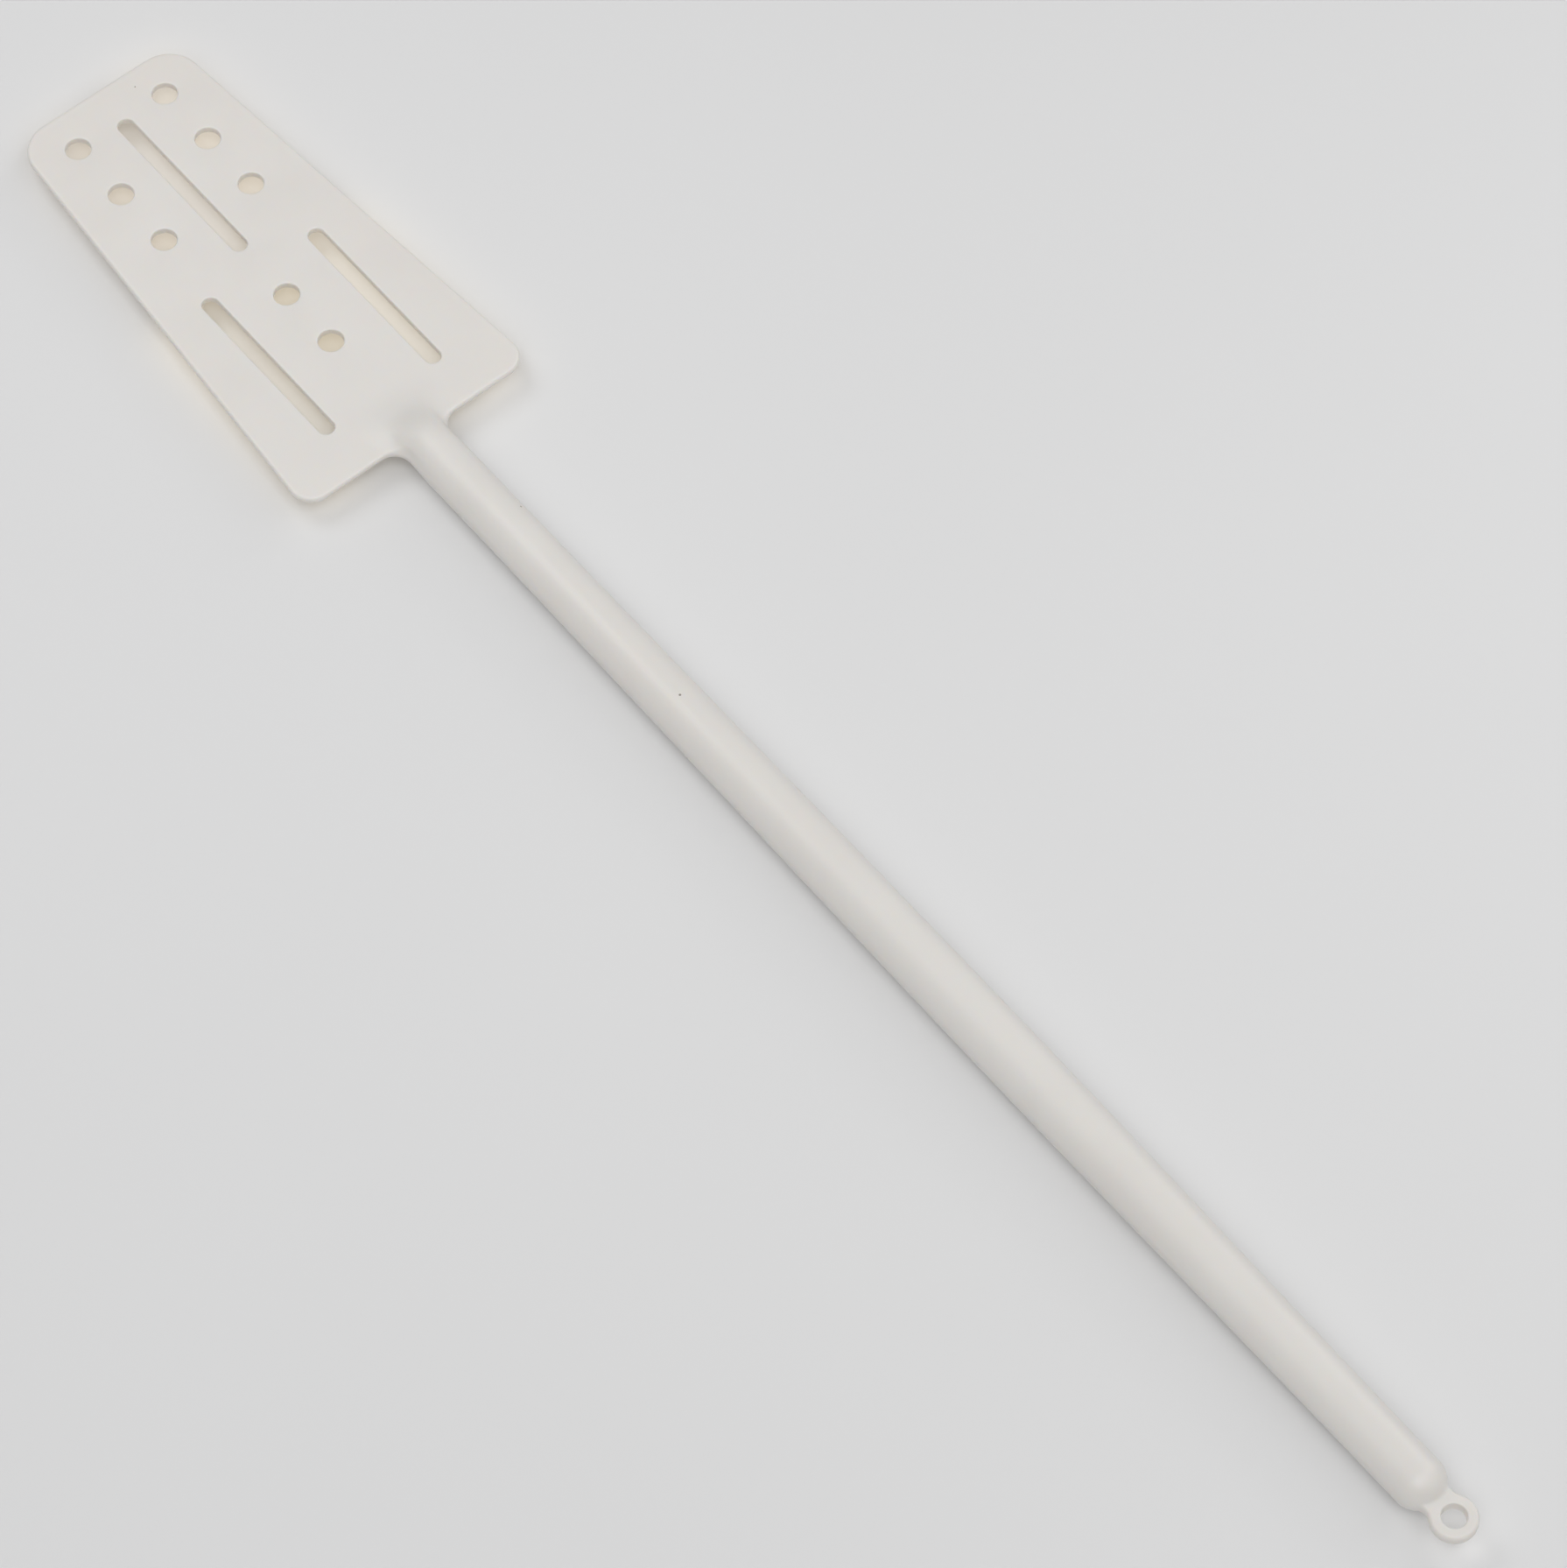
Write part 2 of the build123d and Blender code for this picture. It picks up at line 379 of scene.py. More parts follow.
def build_plug_plastic():
    material, tree, shader, where = principled("plug_plastic")
    grain = effect(tree, mould_grain, where, (2, 0), Wave_Scale=220.0, Grain_Scale=2500.0, Grain_Share=0.3)
    tint = mix_colour(tree, grain.outputs["Blotch"], (0.70, 0.68, 0.63, 1), (0.76, 0.75, 0.71, 1), (4, 0))
    tree.links.new(tint, shader.inputs["Base Color"])
    dull = range_node(tree, grain.outputs["Blotch"], 0.0, 1.0, 0.5, 0.62, (4, 1))
    tree.links.new(dull, shader.inputs["Roughness"])
    tree.links.new(bump(tree, grain.outputs["Height"], 0.0001, 0.4, (5, 2)), shader.inputs["Normal"])
    return material


drawn_steel = build_drawn_steel()
plug_plastic = build_plug_plastic()

# %% [markdown]
# ## The rims of the holes and slots
# Each opening goes straight through the blade, with a small rounding at both faces. Cutting them with a
# Boolean would leave a hard, badly shaded edge. Here each opening is a closed path, and one Geometry
# Nodes tree runs the same small profile around every path: rounding, wall, rounding. The wall leans by
# a few hundredths of a millimetre from both faces to the middle, as a mould needs to let go.

# %% Geometry Nodes tree for opening rims
def build_opening_rims():
    tree = new_group("opening_rims",
                     [("Paths", "NodeSocketGeometry", None), ("Half Thickness", "NodeSocketFloat", 0.0013),
                      ("Rounding", "NodeSocketFloat", 0.0004), ("Draft", "NodeSocketFloat", 0.00004),
                      ("Steps", "NodeSocketInt", 25), ("Finish", "NodeSocketMaterial", None)],
                     [("Rims", "NodeSocketGeometry", None)], "GeometryNodeTree")
    start = add_node(tree, "NodeGroupInput", (0, 0))
    half, rounding, draft = (start.outputs[n] for n in ("Half Thickness", "Rounding", "Draft"))

    line = add_node(tree, "GeometryNodeMeshLine", (1, 2))
    tree.links.new(start.outputs["Steps"], line.inputs["Count"])
    step = add_node(tree, "GeometryNodeInputIndex", (1, 3))
    last = math_node(tree, "SUBTRACT", (2, 3), start.outputs["Steps"], 1.0)
    share = math_node(tree, "DIVIDE", (3, 3), step.outputs[0], last)
    swing = math_node(tree, "SINE", (5, 3), math_node(tree, "MULTIPLY", (4, 3),
                      math_node(tree, "SUBTRACT", (4, 4), share, 0.5), math.pi))
    height = math_node(tree, "MULTIPLY", (6, 3), swing, half)
    reach = math_node(tree, "SUBTRACT", (7, 3), math_node(tree, "ABSOLUTE", (7, 4), height),
                      math_node(tree, "SUBTRACT", (7, 5), half, rounding))
    reach = math_node(tree, "MINIMUM", (8, 3), math_node(tree, "MAXIMUM", (8, 4), reach, 0.0), rounding)
    left = math_node(tree, "SUBTRACT", (9, 3), math_node(tree, "MULTIPLY", (9, 4), rounding, rounding),
                     math_node(tree, "MULTIPLY", (9, 5), reach, reach))
    round_off = math_node(tree, "SUBTRACT", (10, 3), rounding, math_node(tree, "SQRT", (10, 4),
                          math_node(tree, "MAXIMUM", (10, 5), left, 0.0)))
    lean = math_node(tree, "MULTIPLY", (11, 4), draft, math_node(tree, "SUBTRACT", (11, 5),
                     math_node(tree, "ABSOLUTE", (11, 6), swing), 1.0))
    outward = math_node(tree, "ADD", (12, 3), round_off, lean)
    point = add_node(tree, "ShaderNodeCombineXYZ", (13, 3))
    tree.links.new(outward, point.inputs["X"])
    tree.links.new(height, point.inputs["Y"])
    placed = add_node(tree, "GeometryNodeSetPosition", (14, 2))
    tree.links.new(line.outputs["Mesh"], placed.inputs["Geometry"])
    tree.links.new(point.outputs["Vector"], placed.inputs["Position"])
    profile = add_node(tree, "GeometryNodeMeshToCurve", (15, 2))
    tree.links.new(placed.outputs["Geometry"], profile.inputs["Mesh"])

    paths = add_node(tree, "GeometryNodeMeshToCurve", (13, 0))
    tree.links.new(start.outputs["Paths"], paths.inputs["Mesh"])
    upright = add_node(tree, "GeometryNodeSetCurveNormal", (14, 0), mode="Z_UP")
    tree.links.new(paths.outputs["Curve"], upright.inputs["Curve"])
    rims = add_node(tree, "GeometryNodeCurveToMesh", (16, 0))
    tree.links.new(upright.outputs["Curve"], rims.inputs["Curve"])
    tree.links.new(profile.outputs["Curve"], rims.inputs["Profile Curve"])
    real = add_node(tree, "GeometryNodeRealizeInstances", (17, 0))
    finish = add_node(tree, "GeometryNodeSetMaterial", (18, 0))
    end = add_node(tree, "NodeGroupOutput", (19, 0))
    tree.links.new(rims.outputs["Mesh"], real.inputs["Geometry"])
    tree.links.new(real.outputs["Geometry"], finish.inputs["Geometry"])
    tree.links.new(start.outputs["Finish"], finish.inputs["Material"])
    tree.links.new(finish.outputs["Geometry"], end.inputs["Rims"])
    return tree


def grow(name, tree, base, **values):
    """Runs a Geometry Nodes tree on a base mesh and returns the plain mesh that it makes."""
    carrier = bpy.data.objects.new(name, base)
    bpy.context.scene.collection.objects.link(carrier)
    modifier = carrier.modifiers.new(name, "NODES")
    modifier.node_group = tree
    for socket in tree.interface.items_tree:
        if socket.in_out == "INPUT" and socket.name.replace(" ", "_") in values:
            modifier[socket.identifier] = values[socket.name.replace(" ", "_")]
    grown = bpy.data.meshes.new_from_object(carrier.evaluated_get(bpy.context.evaluated_depsgraph_get()))
    carrier.modifiers.clear()
    bpy.data.objects.remove(carrier)
    grown.name = name
    return grown


# %% [markdown]
# The paths come from the boxes of the openings in the design model, so no hole is placed by hand. A
# round hole is the same shape as a slot with no straight part, which is why one helper draws both.

# %% Draw the paths of the openings
CIRCLE_STEPS = 64


def stadium(centre, length, width):
    """Closed path round a slot, anticlockwise. A length equal to the width gives a circle."""
    reach = (length - width) / 2
    points = []
    for side in (1, -1):
        for i in range(CIRCLE_STEPS // 2 + 1):
            angle = math.pi * (i / (CIRCLE_STEPS // 2) - 0.5) + (0 if side > 0 else math.pi)
            points.append((centre[0] + side * reach + width / 2 * math.cos(angle),
                           centre[1] + width / 2 * math.sin(angle)))
    if reach == 0:
        del points[CIRCLE_STEPS // 2], points[-1]
    return points


def path_mesh(name, loops):
    """Closed edge loops in the middle plane, in metres."""
    verts, edges = [], []
    for loop in loops:
        first = len(verts)
        verts += [(TIP_X + x * MM, y * MM, AXIS_Z) for x, y in loop]
        edges += [(first + i, first + (i + 1) % len(loop)) for i in range(len(loop))]
    mesh = bpy.data.meshes.new(name)
    mesh.from_pydata(verts, edges, [])
    return mesh


blade_loops = []
for opening in record["physics"]["openings"]:
    low, high = opening["box_m"]
    middle = (from_tip((low[0] + high[0]) / 2), (low[1] + high[1]) / 2 / MM)
    is_slot = "slot" in opening["name"]
    size = (SLOT_LENGTH, SLOT_WIDTH) if is_slot else (2 * HOLE_R, 2 * HOLE_R)
    blade_loops.append((middle, stadium(middle, *size)))
eye_loops = [((EYE_CENTRE, 0.0), stadium((EYE_CENTRE, 0.0), 2 * EYE_HOLE_R, 2 * EYE_HOLE_R))]
print("openings in the blade:", len(blade_loops))

# %% Run the rims tree round the paths
FLOW_ROUNDING, EYE_ROUNDING = 0.45, 0.4
MOULD_DRAFT = 0.05         # how far a wall leans in from face to middle
opening_rims = build_opening_rims()
flow_rims = grow("flow_rims", opening_rims, path_mesh("flow_paths", [loop for _, loop in blade_loops]),
                 Half_Thickness=BLADE_HALF * MM, Rounding=FLOW_ROUNDING * MM, Draft=MOULD_DRAFT * MM,
                 Steps=25, Finish=ivory)
eye_rim = grow("eye_rim", opening_rims, path_mesh("eye_path", [loop for _, loop in eye_loops]),
               Half_Thickness=EYE_HALF * MM, Rounding=EYE_ROUNDING * MM, Draft=MOULD_DRAFT * MM,
               Steps=29, Finish=ivory)
print("rim faces:", len(flow_rims.polygons), len(eye_rim.polygons))


# %% [markdown]
# ## The handle
# The handle is a round bar that grows and shrinks by less than a millimetre in radius. That follows a
# rule, so Geometry Nodes make it: a line of stations, a circle as profile, and a scale that eases from
# the neck to the grip and on to the dome. The same easing is written in Python too, because
# the two ends of the moulding have to meet this tube exactly.

# %% Geometry Nodes tree for the swelling handle
FACETS = 96


def build_swelling_handle():
    tree = new_group("swelling_handle",
                     [("Base", "NodeSocketGeometry", None), ("Start", "NodeSocketFloat", 0.0),
                      ("Grip", "NodeSocketFloat", 0.1), ("Dome", "NodeSocketFloat", 0.2),
                      ("Stop", "NodeSocketFloat", 0.2), ("Axis Height", "NodeSocketFloat", 0.0),
                      ("Neck Radius", "NodeSocketFloat", 0.008), ("Grip Radius", "NodeSocketFloat", 0.009),
                      ("Dome Radius", "NodeSocketFloat", 0.008), ("Stations", "NodeSocketInt", 100),
                      ("Facets", "NodeSocketInt", 96), ("Finish", "NodeSocketMaterial", None)],
                     [("Handle", "NodeSocketGeometry", None)], "GeometryNodeTree")
    start = add_node(tree, "NodeGroupInput", (0, 0))
    ends = []
    for row, name in enumerate(("Start", "Stop")):
        corner = add_node(tree, "ShaderNodeCombineXYZ", (1, row))
        tree.links.new(start.outputs[name], corner.inputs["X"])
        tree.links.new(start.outputs["Axis Height"], corner.inputs["Z"])
        ends.append(corner.outputs[0])
    line = add_node(tree, "GeometryNodeMeshLine", (2, 0), mode="END_POINTS")
    tree.links.new(start.outputs["Stations"], line.inputs["Count"])
    tree.links.new(ends[0], line.inputs["Start Location"])
    tree.links.new(ends[1], line.inputs["Offset"])
    spine = add_node(tree, "GeometryNodeMeshToCurve", (3, 0))
    tree.links.new(line.outputs["Mesh"], spine.inputs["Mesh"])
    upright = add_node(tree, "GeometryNodeSetCurveNormal", (4, 0), mode="Z_UP")
    tree.links.new(spine.outputs["Curve"], upright.inputs["Curve"])

    place = add_node(tree, "GeometryNodeInputPosition", (1, 3))
    along = add_node(tree, "ShaderNodeSeparateXYZ", (2, 3))
    tree.links.new(place.outputs[0], along.inputs[0])
    sockets = start.outputs
    growing = range_node(tree, along.outputs["X"], sockets["Start"], sockets["Grip"],
                         sockets["Neck Radius"], sockets["Grip Radius"], (3, 3), "SMOOTHSTEP")
    shrinking = range_node(tree, along.outputs["X"], sockets["Grip"], sockets["Dome"],
                           sockets["Grip Radius"], sockets["Dome Radius"], (3, 4), "SMOOTHSTEP")
    radius = math_node(tree, "SUBTRACT", (5, 3), math_node(tree, "ADD", (4, 3), growing, shrinking),
                       sockets["Grip Radius"])
    ring = add_node(tree, "GeometryNodeCurvePrimitiveCircle", (4, 2), Radius=1.0)
    tree.links.new(sockets["Facets"], ring.inputs["Resolution"])
    tube = add_node(tree, "GeometryNodeCurveToMesh", (6, 0))
    tree.links.new(upright.outputs["Curve"], tube.inputs["Curve"])
    tree.links.new(ring.outputs["Curve"], tube.inputs["Profile Curve"])
    tree.links.new(radius, tube.inputs["Scale"])
    real = add_node(tree, "GeometryNodeRealizeInstances", (7, 0))
    finish = add_node(tree, "GeometryNodeSetMaterial", (8, 0))
    end = add_node(tree, "NodeGroupOutput", (9, 0))
    tree.links.new(tube.outputs["Mesh"], real.inputs["Geometry"])
    tree.links.new(real.outputs["Geometry"], finish.inputs["Geometry"])
    tree.links.new(sockets["Finish"], finish.inputs["Material"])
    tree.links.new(finish.outputs["Geometry"], end.inputs["Handle"])
    return tree


def ease(t):
    """Smooth step from 0 to 1."""
    t = np.clip(t, 0.0, 1.0)
    return t * t * (3 - 2 * t)


def handle_radius(x):
    """Radius of the handle at x millimetres from the tip, as the tree has it."""
    growing = NECK_R + (SWELL_R - NECK_R) * ease((x - HANDLE_START) / (SWELL_PLACE - HANDLE_START))
    shrinking = (END_R - SWELL_R) * ease((x - SWELL_PLACE) / (DOME_CENTRE - SWELL_PLACE))
    return growing + shrinking


EYE_CUT = DOME_CENTRE - 4.0
EYE_CUT_R = float(handle_radius(EYE_CUT))
swelling_handle = build_swelling_handle()
tube = grow("handle_tube", swelling_handle, bpy.data.meshes.new("handle_base"),
            Start=handle_low.x, Grip=TIP_X + SWELL_PLACE * MM, Dome=handle_high.x,
            Stop=TIP_X + EYE_CUT * MM, Axis_Height=AXIS_Z, Neck_Radius=NECK_R * MM,
            Grip_Radius=SWELL_R * MM, Dome_Radius=END_R * MM, Stations=110, Facets=FACETS, Finish=ivory)
print("handle faces:", len(tube.polygons))

# %% [markdown]
# ## The two ends of the moulding
# The blade with its neck, and the dome with its ring, are both flat plates that grow into a round bar.
# Seen from above, each has a simple outline, and its top is one height over every place inside that
# outline. So each end is drawn flat and then lifted: rings of points follow the outline, a Delaunay
# fill joins them to the openings, and one formula gives each point its height. The formula lays a round
# bar in a plate with a rolled fillet between them, and rounds the plate's edge off. The lower half is the
# mirror image. A subdivision cage could do this too, but it would have to be bent around every hole.

# %% Outlines, as runs and arcs with their inward directions
def run(start, end, step):
    """Straight run, without its last point. The body lies on the right of travel."""
    start, end = np.array(start, float), np.array(end, float)
    length = np.linalg.norm(end - start)
    if length < 1e-6:
        return []
    ahead = (end - start) / length
    count = max(1, round(length / step))
    return [(start + (end - start) * i / count, np.array((ahead[1], -ahead[0]))) for i in range(count)]


def arc(centre, radius, start_angle, end_angle, step=5.0):
    """Arc in degrees, without its last point. Clockwise arcs bulge out of the body, others are hollows."""
    count = max(3, round(abs(end_angle - start_angle) / step))
    inward = -1 if end_angle < start_angle else 1
    points = []
    for i in range(count):
        angle = math.radians(start_angle + (end_angle - start_angle) * i / count)
        out = np.array((math.cos(angle), math.sin(angle)))
        points.append((np.array(centre) + radius * out, inward * out))
    return points


def rounded_path(corners, step):
    """Open path through (x, y, radius) corners, each rounded by its own arc."""
    path, here = [], np.array(corners[0][:2], float)
    for before, (x, y, radius), after in zip(corners, corners[1:], corners[2:]):
        corner = np.array((x, y), float)
        came = corner - np.array(before[:2], float)
        goes = np.array(after[:2], float) - corner
        came, goes = came / np.linalg.norm(came), goes / np.linalg.norm(goes)
        turn = math.atan2(came[0] * goes[1] - came[1] * goes[0], float(came @ goes))
        reach = radius * math.tan(abs(turn) / 2)
        left = np.sign(turn) * np.array((-came[1], came[0]))
        centre = corner - came * reach + radius * left
        begin = math.degrees(math.atan2(*(-left)[::-1]))
        path += run(here, corner - came * reach, step)
        path += arc(centre, radius, begin, begin + math.degrees(turn))
        here = corner + goes * reach
    last = np.array(corners[-1][:2], float)
    path += run(here, last, step)
    path.append((last, path[-1][1]))
    return path


def blade_outline():
    """From the neck's lower side round the blade to its upper side."""
    lower = [(HANDLE_START, -NECK_R, 0), (BLADE_LENGTH, -NECK_R, NECK_FILLET_R),
             (BLADE_LENGTH, -SHOULDER_WIDTH / 2, SHOULDER_CORNER_R), (0, -TIP_WIDTH / 2, TIP_CORNER_R)]
    upper = [(x, -y, radius) for x, y, radius in reversed(lower)]
    return rounded_path(lower + upper, 2.0)


def eye_outline():
    """From the handle's upper side round the dome, the waist and the ring to its lower side."""
    span = EYE_CENTRE - DOME_CENTRE
    to_dome, to_ring = END_R + WAIST_FILLET_R, EYE_R + WAIST_FILLET_R
    along = (to_dome ** 2 - to_ring ** 2 + span ** 2) / (2 * span)
    across = math.sqrt(to_dome ** 2 - along ** 2)
    leave_dome = math.degrees(math.atan2(across, along))
    meet_ring = math.degrees(math.atan2(-across, span - along))
    upper = run((EYE_CUT, EYE_CUT_R), (DOME_CENTRE, END_R), 0.6)
    upper += arc((DOME_CENTRE, 0), END_R, 90, leave_dome, 3.0)
    upper += arc((DOME_CENTRE + along, across), WAIST_FILLET_R, leave_dome - 180, meet_ring, 5.0)
    upper += arc((EYE_CENTRE, 0), EYE_R, meet_ring + 180, 0, 4.0)
    end = [(np.array((EYE_CENTRE + EYE_R, 0.0)), np.array((-1.0, 0.0)))]
    lower = [(np.array((p[0], -p[1])), np.array((n[0], -n[1]))) for p, n in reversed(upper)]
    return upper + end + lower


print("outline points:", len(blade_outline()), len(eye_outline()))

# %% [markdown]
# ### One height for every place
# The blade's side has a low mound where the handle dives in, which turns into the round bar while the
# plate fades away. At the other end the bar stops in a dome, and the flat ring grows out of it. Every
# change runs over a few millimetres with an easing, because a mould is polished to soft changes.

# %% The height of the top surface
ROUND_START, ROUND_END = 150.0, 170.0             # where the mound turns into the bar
PLATE_FADE_START = 162.0                          # where the plate beside the bar begins to fade
PLATE_FADE_END = HANDLE_START - 2.0               # and where it is gone
MOUND_WIDEST, MOUND_NARROWEST = 18.5, 9.0         # half width of the mound
NECK_BLEND, EYE_BLEND = 4.0, 1.2                  # rolled fillets between bar and plate
BLADE_WALL, EYE_WALL = 0.3, 0.6                   # upright part of each edge, above the middle plane
BLADE_EDGE_R, EYE_EDGE_R = 1.0, 1.4               # how round each edge is
EYE_FLAT_START, EYE_FLAT_GROWTH = 2.0, 5.5        # after the dome's centre
SLIVER = 1e-4                                     # keeps a faded plate from having no thickness


def bar_in_plate(off_axis, radius, half, fillet):
    """Height of a round bar that lies in a plate, with a rolled fillet between them."""
    raised = -np.minimum(0.0, radius - half - SLIVER)    # lifts a bar that is thinner than the plate
    plate_end = np.sqrt((radius + fillet) ** 2 - (half + fillet - raised) ** 2)
    bar_end = plate_end * radius / (radius + fillet)
    bar = np.sqrt(np.clip(radius ** 2 - off_axis ** 2, 0, None)) + raised
    hollow = half + fillet - np.sqrt(np.clip(fillet ** 2 - (plate_end - off_axis) ** 2, 0, None))
    return np.where(off_axis < bar_end, bar, np.where(off_axis < plate_end, hollow, half))


def edge_rounded(height, depth, wall, roundness, fade=2.0):
    """Lowers the height near the outline: a short wall, then a round edge that fades out inwards."""
    rim = (wall + np.sqrt(2 * roundness * depth)) / np.clip(1 - depth / fade, 1e-6, None)
    return (height ** -4 + np.maximum(rim, 1e-6) ** -4) ** -0.25


def blade_height(x, y, depth):
    """Blade, mound and neck. A wide low mound turns into the round bar, and the plate fades away."""
    rise = ease((x - RAMP_START) / (RAMP_END - RAMP_START))
    round_share = ease((x - ROUND_START) / (ROUND_END - ROUND_START))
    bare = ease((x - PLATE_FADE_START) / (PLATE_FADE_END - PLATE_FADE_START))
    plate = BLADE_HALF * (1 - bare) + SLIVER
    mound_half = MOUND_WIDEST + (MOUND_NARROWEST - MOUND_WIDEST) * rise
    mound = plate + (NECK_R - BLADE_HALF) * rise * np.clip(1 - (y / mound_half) ** 2, 0, None) ** 2
    bar = bar_in_plate(np.abs(y), NECK_R, plate, 0.01 + NECK_BLEND * (1 - bare))
    body = mound + (bar - mound) * round_share
    wall, roundness = BLADE_WALL * (1 - bare), BLADE_EDGE_R / (1.001 - bare) ** 3
    return edge_rounded(np.maximum(body, 1e-6), depth, wall, roundness)


def eye_height(x, y, depth):
    """Handle, dome, waist and ring. The plate and its edge grow in as the bar ends in its dome."""
    flat = ease((x - (DOME_CENTRE + EYE_FLAT_START)) / EYE_FLAT_GROWTH)
    off_axis = np.where(x > DOME_CENTRE, np.hypot(x - DOME_CENTRE, y), np.abs(y))
    radius = handle_radius(np.minimum(x, DOME_CENTRE))
    body = bar_in_plate(off_axis, radius, EYE_HALF * flat + SLIVER, EYE_BLEND * flat + 0.01)
    return edge_rounded(np.maximum(body, 1e-6), depth, EYE_WALL * flat, EYE_EDGE_R / (0.001 + flat) ** 3)


neck_top = blade_height(np.array([HANDLE_START]), np.array([0.0]), np.array([NECK_R]))[0]
print(f"top of the neck: {neck_top:.2f} mm above the axis")

# %% [markdown]
# ### From an outline to a skin
# A Delaunay fill with fixed edges makes even triangles between the outline and the openings, but it
# fills the openings too. So the fill is walked from one triangle inside the plastic to its neighbours,
# and the walk never crosses a fixed edge. What it reaches is the plastic.

# %% Tests for places in the plan
def inside(points, polygon):
    """True where a point is inside a closed polygon."""
    x, y = points[:, 0:1], points[:, 1:2]
    ax, ay = polygon[:, 0], polygon[:, 1]
    bx, by = np.roll(ax, -1), np.roll(ay, -1)
    crosses = (ay > y) != (by > y)
    at = ax + (y - ay) * (bx - ax) / np.where(by == ay, 1e-12, by - ay)
    return (np.sum(crosses & (x < at), axis=1) % 2) == 1


def distance_to(points, line):
    """Shortest distance from each point to an open polyline."""
    a, b = line[:-1], line[1:]
    ab = b - a
    ap = points[:, None, :] - a[None]
    t = np.clip((ap * ab).sum(2) / (ab * ab).sum(1), 0, 1)
    return np.sqrt(((ap - t[..., None] * ab) ** 2).sum(2)).min(1)


def rim_loops(mesh, half, loops):
    """The top edge of each opening's rim, in order round its middle, in millimetres from the tip."""
    co = np.array([v.co for v in mesh.vertices])
    top = co[np.abs(co[:, 2] - (AXIS_Z + half * MM)) < 1e-8]
    plan = np.stack(((top[:, 0] - TIP_X) / MM, top[:, 1] / MM), axis=1)
    found = []
    for middle, loop in loops:
        reach = np.abs(np.array(loop) - middle).max(0) + 1.0
        own = plan[(np.abs(plan - middle) < reach).all(1)]
        found.append(own[np.argsort(np.arctan2(own[:, 1] - middle[1], own[:, 0] - middle[0]))])
    return found


def within_walls(faces, walls, points, start_point):
    """The faces that can be reached from the one at a start point without crossing a wall edge."""
    closed = {frozenset(wall) for wall in walls}
    beside = {}
    for index, face in enumerate(faces):
        for pair in zip(face, face[1:] + face[:1]):
            beside.setdefault(frozenset(pair), []).append(index)
    middles = np.array([points[face].mean(0) for face in faces])
    start = int(np.argmin(((middles - start_point) ** 2).sum(1)))
    reached, waiting = {start}, [start]
    while waiting:
        face = faces[waiting.pop()]
        for pair in zip(face, face[1:] + face[:1]):
            if frozenset(pair) in closed:
                continue
            for neighbour in beside[frozenset(pair)]:
                if neighbour not in reached:
                    reached.add(neighbour)
                    waiting.append(neighbour)
    return [faces[index] for index in sorted(reached)]


ring_middle = np.array([(EYE_CENTRE, 0.0)])
print("the ring's middle is inside its hole:", inside(ring_middle, np.array(eye_loops[0][1]))[0])

# %% Fill an outline and lift it
CLEAR = 0.35               # free space between fixed edges and the loose fill points
CLEAR_OF_CUT = 0.45        # the same, at the cut through the bar
ON_CUT = 2e-3              # a point this near the cut lies on it


def lifted_half(outline, depths, cut_radius, loops, loop_half, fill_points, height):
    """Upper half of one end as vertices and faces, in millimetres, and the wall at its outline."""
    line = np.array([p for p, _ in outline])
    inward = np.array([n for _, n in outline])
    rings = [line + d * inward for d in depths]
    count, last = len(line), len(depths) - 1
    side = np.sign(line[-1, 1])
    turns = np.arange(last + 1, FACETS // 2 - last)
    cut_y = side * cut_radius * np.cos(turns * 2 * math.pi / FACETS)
    cut = np.stack((np.full(len(cut_y), line[-1, 0]), cut_y), axis=1)

    hull = np.vstack((rings[-1], cut))
    keep = inside(fill_points, hull) & (distance_to(fill_points, line) > depths[-1] + CLEAR)
    keep &= np.abs(fill_points[:, 0] - line[-1, 0]) > CLEAR_OF_CUT
    for loop in loops:
        closed_loop = np.vstack((loop, loop[:1]))
        keep &= ~inside(fill_points, loop) & (distance_to(fill_points, closed_loop) > CLEAR)
    spare = fill_points[keep]

    flat, edges = [hull], [(i, (i + 1) % len(hull)) for i in range(len(hull))]
    first = len(hull)
    for loop in loops:
        flat.append(loop)
        edges += [(first + i, first + (i + 1) % len(loop)) for i in range(len(loop))]
        first += len(loop)
    flat = np.vstack(flat + [spare])
    solved = delaunay_2d_cdt([Vector(p) for p in flat], edges, [], 0, 1e-7)
    back_to = {i: origin[0] for i, origin in enumerate(solved[3]) if origin}
    start_point = (line[-1, 0] + (0.8 if hull[:, 0].max() > line[-1, 0] + 1 else -0.8), 0.0)
    faces = within_walls([[back_to[i] for i in face] for face in solved[2]], edges, flat, start_point)

    outer = np.vstack(rings[:-1])
    plan = np.vstack((outer, flat))
    depth = np.concatenate([np.full(count, d) for d in depths[:-1]] + [np.full(count, depths[-1])]
                           + [distance_to(flat[count:], line)])
    z = height(plan[:, 0], plan[:, 1], depth)
    at_cut = np.abs(plan[:, 0] - line[-1, 0]) < ON_CUT
    z[at_cut] = np.sqrt(np.clip(cut_radius ** 2 - plan[at_cut, 1] ** 2, 0, None))
    hole_first = len(outer) + len(hull)
    z[hole_first:hole_first + sum(len(loop) for loop in loops)] = loop_half

    shift = len(outer)
    all_faces = [[i + shift for i in face] for face in faces]
    for k in range(last):
        for i in range(count - 1):
            here, next_ring = k * count + i, (k + 1) * count + i
            all_faces.append([here, here + 1, next_ring + 1, next_ring])
    return np.column_stack((plan, z)), all_faces, count


